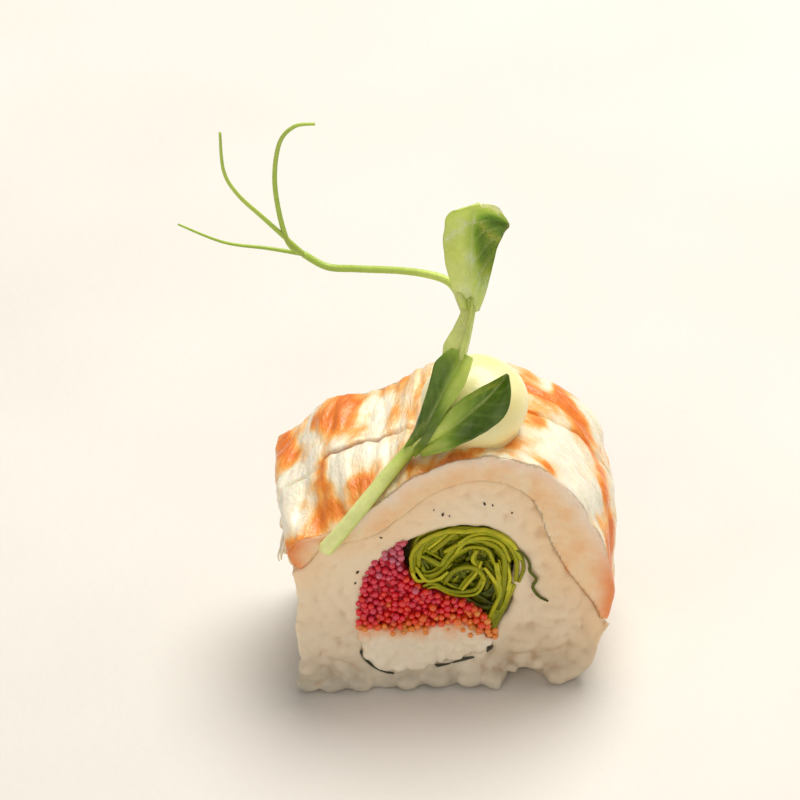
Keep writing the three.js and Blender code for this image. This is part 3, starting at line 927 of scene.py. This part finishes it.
def flesh_relief(point):
    """Height of the lumps, flakes and fibres on a shrimp's back, in millimetres."""
    across, along = flesh_ways(point)
    lumps = ripple(across * 0.16, along * 0.14, 1)
    flakes = abs(ripple(across * 0.42, along * 0.13, 2))
    fibres = ripple(across * 1.3, along * 0.25, 3)
    return 0.6 * lumps + 0.9 * min(flakes, 0.4) - 0.3 + 0.2 * fibres


cooked_shrimp, tree, shader = new_material(
    "cooked shrimp", Subsurface_Weight=0.3, Subsurface_Scale=0.0014, Coat_Weight=0.3, Coat_Roughness=0.14,
    Subsurface_Radius=(1.0, 0.55, 0.3),
)
place = attribute(tree, "fibre", "Vector")
fibre = add_node(tree, "ShaderNodeTexNoise", Vector=place, Scale=1.0, Detail=4.0, Roughness=0.6)
skin = plus(tree, attribute(tree, "orange"), scaled(tree, fibre.outputs["Fac"], 0.6, -0.3))
skin = plus(tree, skin, scaled(tree, blotch(tree, 1.6, 0.2, 0.8), 0.24, -0.12))
skin_tone = ramp(
    tree, skin, (0, "fef6e2"), (0.25, "fdecd0"), (0.45, "fcd6a4"), (0.64, "fbb35c"), (0.82, "f89434"),
    (1, "ea7c20"),
)
flesh = plus(tree, scaled(tree, blotch(tree, 4), 0.5), scaled(tree, fibre.outputs["Fac"], 0.5))
inside_tone = ramp(tree, flesh, (0.1, "fde6c4"), (0.6, "fcd2a2"), (1, "f9c084"))
inside_tone = mix(tree, attribute(tree, "rim"), inside_tone, colour("f08a3a"))
inside_tone = mix(tree, attribute(tree, "pale_rim"), inside_tone, colour("fdeadb"))
tone = mix(tree, attribute(tree, "inside"), skin_tone, inside_tone)
# Painted shade, brown, in the open part of the seam between the shrimps.
tone = mix(tree, attribute(tree, "crevice_shade"), tone, colour("9c5a28"))
finish(tree, shader, tone, scaled(tree, blotch(tree, 2.2), 0.2, 0.24), fibre.outputs["Fac"], 0.0006, 0.8)

for node in ("shrimp_front", "shrimp_back"):
    form = remeshed(cad_copy(node), SHRIMP_VOXEL, 4)
    names = ("orange", "inside", "rim", "pale_rim", "crevice_shade")
    orange, inside, rim, pale_rim, crevice_shade = (form.verts.layers.float.new(name) for name in names)
    fibre_place = form.verts.layers.float_vector.new("fibre")
    for vert in form.verts:
        angle = around(vert.co)
        facing = vert.normal.dot(outward(vert.co))
        back = clamp(facing * 2)
        at_cut = clamp((abs(vert.co.y) - HALF_SLICE + 1.6) / 1.2)
        cut = clamp((abs(vert.normal.y) - 0.5) * 3.3) * at_cut
        across, along = flesh_ways(vert.co)
        vert[orange] = orange_at(vert.co)
        # Painted shade in the open part of the seam.
        vert[crevice_shade] = 0.85 * crevice_at(vert.co)
        vert[inside] = cut
        depth = skin_radius(shrimp_walls, angle, vert.co.y) - way_from(ROLL_AXIS, vert.co).length
        low_end = max(clamp((angle - 150) / 16), clamp((16 - angle) / 24))
        vert[rim] = low_end * math.exp(-(max(depth, 0) / RIM_DEPTH) ** 2)
        vert[pale_rim] = (1 - low_end) * 0.7 * math.exp(-(max(depth, 0) / PALE_RIM_DEPTH) ** 2)
        on_back = Vector((across * 1.1, along * 0.34, 0.5 * depth))
        vert[fibre_place] = on_back if cut < 0.5 else vert.co * 0.45
        pressed = 0.35 * clamp(-facing * 2)
        lift = back * (1 - cut) * (flesh_relief(vert.co) - 0.5 * crevice_at(vert.co))
        wander = 1.1 * ripple(vert.co.x * 0.3, 7, vert.co.z * 0.3)
        wander *= math.exp(-(seam_gap(vert.co) / 3) ** 2)
        vert.co += vert.normal * (0.14 + pressed + lift) + Vector((0, wander, 0))
    smooth(form, form.verts, 1)
    shrimp = piece_of(form, node + "_flesh", cooked_shrimp)
    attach(shrimp, "root")
    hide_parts(node)

# ---- Shrimp fringe ---------------------------------------
# At their left ends, the shrimps' flesh is torn into short white threads, which hang down over the rice.

FRINGE_STEPS = 10
FRINGE_THREADS = 30
# Where the threads start: the least, greatest and usual place along the roll, and two angles round it.
FRINGE_PLACES = (-10.4, 7, -6)
FRINGE_ANGLES = (168, 173)

fringe_tube = straight_tube(6, FRINGE_STEPS)
fringe_form = bmesh.new()
orange = fringe_form.verts.layers.float.new("orange")
for _ in range(FRINGE_THREADS):
    y = rng.triangular(*FRINGE_PLACES)
    angle = rng.uniform(*FRINGE_ANGLES)
    start = across_roll(ROLL_AXIS, angle, skin_radius(shrimp_walls, min(angle, 170), y) - 0.9, y)
    length = rng.uniform(1.8, 4.2)
    drop = Vector((rng.uniform(-0.35, 0.05), rng.uniform(-0.3, 0.2), -1)) * length
    bulge = Vector((-0.5, 0, 0.1)) * rng.uniform(0.4, 1)
    route = [start, start + drop * 0.4 + bulge, start + drop * 0.8 + bulge * 0.9, start + drop]
    size = rng.uniform(0.3, 0.6)
    shade = rng.choice((0.1, 0.2, 0.45))
    made = bend_tube(fringe_form, fringe_tube, FRINGE_STEPS, route, lambda s: size * (1 - 0.75 * s), 0.6)
    for vert, share in made:
        vert[orange] = shade

fringe = piece_of(fringe_form, "shrimp_fringe", cooked_shrimp)
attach(fringe, "root")

# ---- Sauce dot -------------------------------------------
# A dot of thick pale yellow mayonnaise, squeezed from a bottle held upright: a round belly on a slightly
# narrower foot, and a small soft peak where the stream broke off.

DOT_CENTRE = Vector((3.0, -3.6, 37.2))
DOT_RADIUS = 7.2
# Half widths, as shares of the radius, and heights in millimetres.
DOT_PROFILE = (
    (0.0, -2.6), (0.82, -2.6), (0.85, 0.2), (0.94, 1.6), (1.0, 3.6), (0.97, 5.3), (0.84, 7.2), (0.6, 8.8),
    (0.33, 9.6), (0.12, 9.93), (0.0, 10.0),
)
DOT_PROFILE_STEPS = 48

bm = bmesh.new()
profile = [Vector((radius * DOT_RADIUS, 0, height)) for radius, height in DOT_PROFILE]
corners = [bm.verts.new(on_route(profile, i / DOT_PROFILE_STEPS)) for i in range(DOT_PROFILE_STEPS + 1)]
for low, high in zip(corners, corners[1:]):
    bm.edges.new((low, high))
bmesh.ops.spin(
    bm, geom=[*bm.verts, *bm.edges], cent=(0, 0, 0), axis=(0, 0, 1), dvec=(0, 0, 0), angle=math.tau,
    steps=72, use_merge=True, use_duplicate=False,
)
bmesh.ops.remove_doubles(bm, verts=bm.verts, dist=0.01)
bmesh.ops.recalc_face_normals(bm, faces=bm.faces)
for vert in bm.verts:
    swell = 1 + 0.03 * noise.noise(vert.co * 0.22 + Vector((3, 1, 0)))
    vert.co.x *= swell
    vert.co.y *= swell
    vert.co += DOT_CENTRE

mayonnaise, tree, shader = new_material(
    "mayonnaise", Subsurface_Weight=0.4, Subsurface_Scale=0.002, Coat_Weight=0.4, Coat_Roughness=0.2,
    Subsurface_Radius=(1.0, 0.8, 0.4),
)
tone = ramp(tree, blotch(tree, 9), (0, "feeea8"), (1, "fff6be"))
finish(tree, shader, tone, scaled(tree, blotch(tree, 3), 0.1, 0.28), blotch(tree, 2.0), 0.0001, 0.3)

dot = piece_of(bm, "mayonnaise_dot", mayonnaise)
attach(dot, "root")
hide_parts("sauce_dot")

# ---- Pea shoot -------------------------------------------
# A young pea shoot, cut through its pale juicy stem. It lies up the roll's left shoulder, its stem rises in
# front of the sauce with two small folded leaves and a stipule, and ends in one open leaf and a tendril.

TENDRIL_FORK = (-19.4, 4.2, 60.8)
STEM_ROUTE = (
    (-17.9, -13, 24.3), (-15, -12.9, 28.1), (-12, -11.7, 31.5), (-8.9, -9.8, 34.4), (-6.1, -8, 36.8),
    (-3.4, -8.1, 41.4), (-1.4, -8.2, 46.6), (0.7, -6, 51), (2.3, -2.8, 55.6), (2.5, -2.3, 58),
)
TENDRIL_ROUTE = (
    (1.9, -3.2, 55.4), (0.8, -3, 58.2), (-0.5, -2.2, 59.8), (-2.9, -1, 60.2), (-6.7, 0.4, 60.1),
    (-12.5, 2, 59.6), (-16.3, 3.2, 59.3), TENDRIL_FORK,
)
CURL_ROUTE = (
    TENDRIL_FORK, (-21.6, 4.6, 63), (-23, 6, 70.4), (-22.4, 7, 76.4), (-20.4, 7, 79.2), (-17.6, 6.6, 79.8),
)
BRANCH_ROUTE = (TENDRIL_FORK, (-24.4, 5, 66), (-28, 5.6, 69.8), (-29.8, 6, 73.4), (-30.2, 6, 79.4))
THREAD_ROUTE = (TENDRIL_FORK, (-24, 5.6, 61), (-30, 5.4, 62.4), (-36, 5, 65.8))
TOP_LEAF = (
    (2.4, -2.8, 55.4), (2.5, -2.8, 59.6), (2.5, -2.4, 63.4), (2.6, -2.0, 67.0), (2.8, -2.0, 69.8),
    (3.1, -2.4, 71.7), (3.3, -3.1, 72.6), (3.4, -3.9, 72.9),
)
CLASPING_LEAF = ((-6, -8.4, 36.8), (-4.2, -9.6, 41), (-2.2, -9.7, 46), (-0.2, -8.9, 49.8), (1.1, -7.6, 51.9))
STIPULE = ((-0.3, -8.3, 49.2), (0.5, -7.0, 51.8), (1.4, -5.4, 53.8), (2.1, -3.9, 55.8), (2.4, -3.0, 57.6))
BOAT_LEAF = ((-5, -8.8, 37.4), (-1.7, -11.2, 41.5), (1.7, -11.4, 44.7), (4.7, -10.8, 47.5), (6.8, -9.6, 49.7))
LEAF_THICKNESS = 0.25
SHOOT_STEPS = 64

shoot_tube = straight_tube(14, SHOOT_STEPS)
shoot_form = bmesh.new()
pale = shoot_form.verts.layers.float.new("pale")
shoot_form.verts.layers.float.new("vein")


def along_list(values, share):
    """The value at a share of the way through a list of evenly spaced values."""
    span = clamp(share) * (len(values) - 1)
    i = min(int(span), len(values) - 2)
    return values[i] + (values[i + 1] - values[i]) * (span - i)


def add_stalk(route, radii, paleness):
    """A round stalk whose radius and paleness change along it, narrower right at its start, and painted
    darker green underneath as shade."""
    route = [Vector(point) for point in route]

    def width(share):
        return along_list(radii, share) * min(0.8 + 20 * share, 1)

    for vert, share in bend_tube(shoot_form, shoot_tube, SHOOT_STEPS, route, width):
        # Painted shade on the underside of the stalk.
        shaded_side = (vert.co - on_route(route, share)).normalized().dot(Vector((0.6, 0, -0.8)))
        vert[pale] = max(along_list(paleness, share) - 0.4 * max(shaded_side, 0), 0)


add_stalk(
    STEM_ROUTE, (1.1, 1.05, 1.0, 0.98, 0.95, 0.9, 0.9, 1.05, 0.8, 0.3),
    (1, 0.95, 0.9, 0.8, 0.5, 0.5, 0.8, 1, 0.7, 0.5),
)
add_stalk(
    TENDRIL_ROUTE, (0.5, 0.56, 0.58, 0.55, 0.5, 0.5, 0.5, 0.48), (0.6, 0.75, 0.6, 0.6, 0.5, 0.45, 0.4, 0.4),
)
add_stalk(CURL_ROUTE, (0.42, 0.36, 0.32, 0.28, 0.2), (0.4, 0.45, 0.5, 0.5))
add_stalk(BRANCH_ROUTE, (0.36, 0.3, 0.26, 0.18), (0.4, 0.5, 0.5, 0.5))
add_stalk(THREAD_ROUTE, (0.32, 0.26, 0.2, 0.14), (0.4, 0.4, 0.4, 0.4))


def add_leaf(route, side, halves, fold, paleness, curl=0.05):
    """A leaf along a rib, folded up along it, with side veins pressed into it. The side is the way its width
    lies; the halves are its half widths against and along that side, and so is the paleness of its two edges;
    the curl rolls up its edge on that side."""
    side = Vector(side)
    route = [Vector(point) for point in route]
    outline = [Vector((*pair, 0)) for pair in halves]
    edges = [Vector((*pair, 0)) for pair in paleness]
    blade = bmesh.new()
    bmesh.ops.create_grid(blade, x_segments=26, y_segments=64, size=1)
    blade_pale = blade.verts.layers.float.new("pale")
    blade_vein = blade.verts.layers.float.new("vein")
    for vert in blade.verts:
        across, along = vert.co.x, (vert.co.y + 1) / 2
        spot = on_route(route, along)
        ahead = heading(route, along)
        sideways = (side - ahead * ahead.dot(side)).normalized()
        up = sideways.cross(ahead)
        half = on_route(outline, along)[0 if across < 0 else 1]
        half *= 1 + 0.06 * ripple(along * 9, across, fold)
        roll = max(curl * math.exp(-((along - 0.72) / 0.2) ** 2), 0.05) if across > 0 else 0.05
        distance = half * math.sin(roll * across) / roll
        lift = abs(across) * half * math.tan(fold * (1 - 0.35 * abs(across)))
        lift += half * (1 - math.cos(roll * across)) / roll
        lift += 0.5 * ripple(across * 1.5, along * 4, fold)
        ribs = 0.5 + 0.5 * math.cos(math.tau * (along * 8 - abs(across) * 1.5))
        ridge = math.exp(-(distance / 0.16) ** 2)
        line = max(ridge, 0.3 * ribs ** 7 * (1 - abs(across)) ** 0.4)
        vert.co = spot + sideways * distance + up * (lift - 0.12 * line)
        here = on_route(edges, along)
        vert[blade_pale] = clamp(here[0] + (here[1] - here[0]) * clamp(0.4 + 1.2 * across))
        vert[blade_vein] = line
    bmesh.ops.solidify(blade, geom=list(blade.faces), thickness=LEAF_THICKNESS)
    shoot_form.from_mesh(mesh_of(blade, "leaf"))


# The top leaf: its right half is painted dark green in its middle, as the shade inside its curled margin.
add_leaf(
    TOP_LEAF, (1, 0.1, 0),
    ((1.3, 1.2), (2.7, 2.3), (3.5, 3.0), (4.0, 4.0), (3.9, 4.7), (3.2, 4.4), (2.0, 3.0), (0.3, 0.5)), 0.12,
    ((0.85, 0.7), (0.7, 0.25), (0.6, -0.1), (0.55, -0.15), (0.6, 0.15), (0.6, 0.8), (0.6, 0.9)), 0.9,
)
# The clasping leaf: paler along its right edge towards its top, a painted highlight.
add_leaf(
    CLASPING_LEAF, (0.7, -0.6, 0), ((0.9, 0.9), (1.4, 1.4), (1.9, 1.9), (2.6, 2.7), (1.7, 1.9)), 0.45,
    ((0.2, 0.3), (0.0, 0.1), (0.0, 0.15), (0.05, 0.45), (0.15, 0.6), (0.3, 0.6)),
)
add_leaf(
    STIPULE, (0.7, -0.6, 0), ((1.6, 0.9), (2.2, 1.2), (1.6, 1.0), (0.9, 0.8), (0.5, 0.5)), 0.4,
    ((0.65, 0.6), (0.75, 0.7), (0.8, 0.75), (0.75, 0.7), (0.65, 0.6)),
)
# The boat leaf: dark green from its middle to its tip, painted as the shade in its hollow, and paler near its
# base.
add_leaf(
    BOAT_LEAF, (0.5, -0.5, -0.7), ((1.0, 1.0), (1.7, 2.0), (2.2, 3.0), (1.5, 3.0), (0.1, 0.3)), 0.4,
    ((0.7, 0.4), (0.6, 0.3), (0.35, 0.0), (0.15, 0.0), (0.05, 0.0), (0.0, 0.0)),
)

fresh_shoot, tree, shader = new_material(
    "fresh shoot", Subsurface_Weight=0.2, Subsurface_Scale=0.0006, Coat_Weight=0.2, Coat_Roughness=0.2,
    Specular_IOR_Level=0.35, Subsurface_Radius=(0.6, 1.0, 0.3),
)
tone = ramp(
    tree, attribute(tree, "pale"), (0, "3a5600"), (0.15, "5f8008"), (0.35, "a6c24c"), (0.6, "cce06e"),
    (1, "f8feb4"),
)
tone = mix(tree, scaled(tree, blotch(tree, 1.6), 0.16), tone, colour("86a034"))
tone = mix(tree, scaled(tree, attribute(tree, "vein"), 0.3), tone, colour("d2e090"))
finish(tree, shader, tone, scaled(tree, blotch(tree, 2), 0.15, 0.3), blotch(tree, 0.4), 0.00006, 0.5)

shoot = piece_of(shoot_form, "pea_shoot_green", fresh_shoot)
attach(shoot, "root")
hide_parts("pea_shoot")
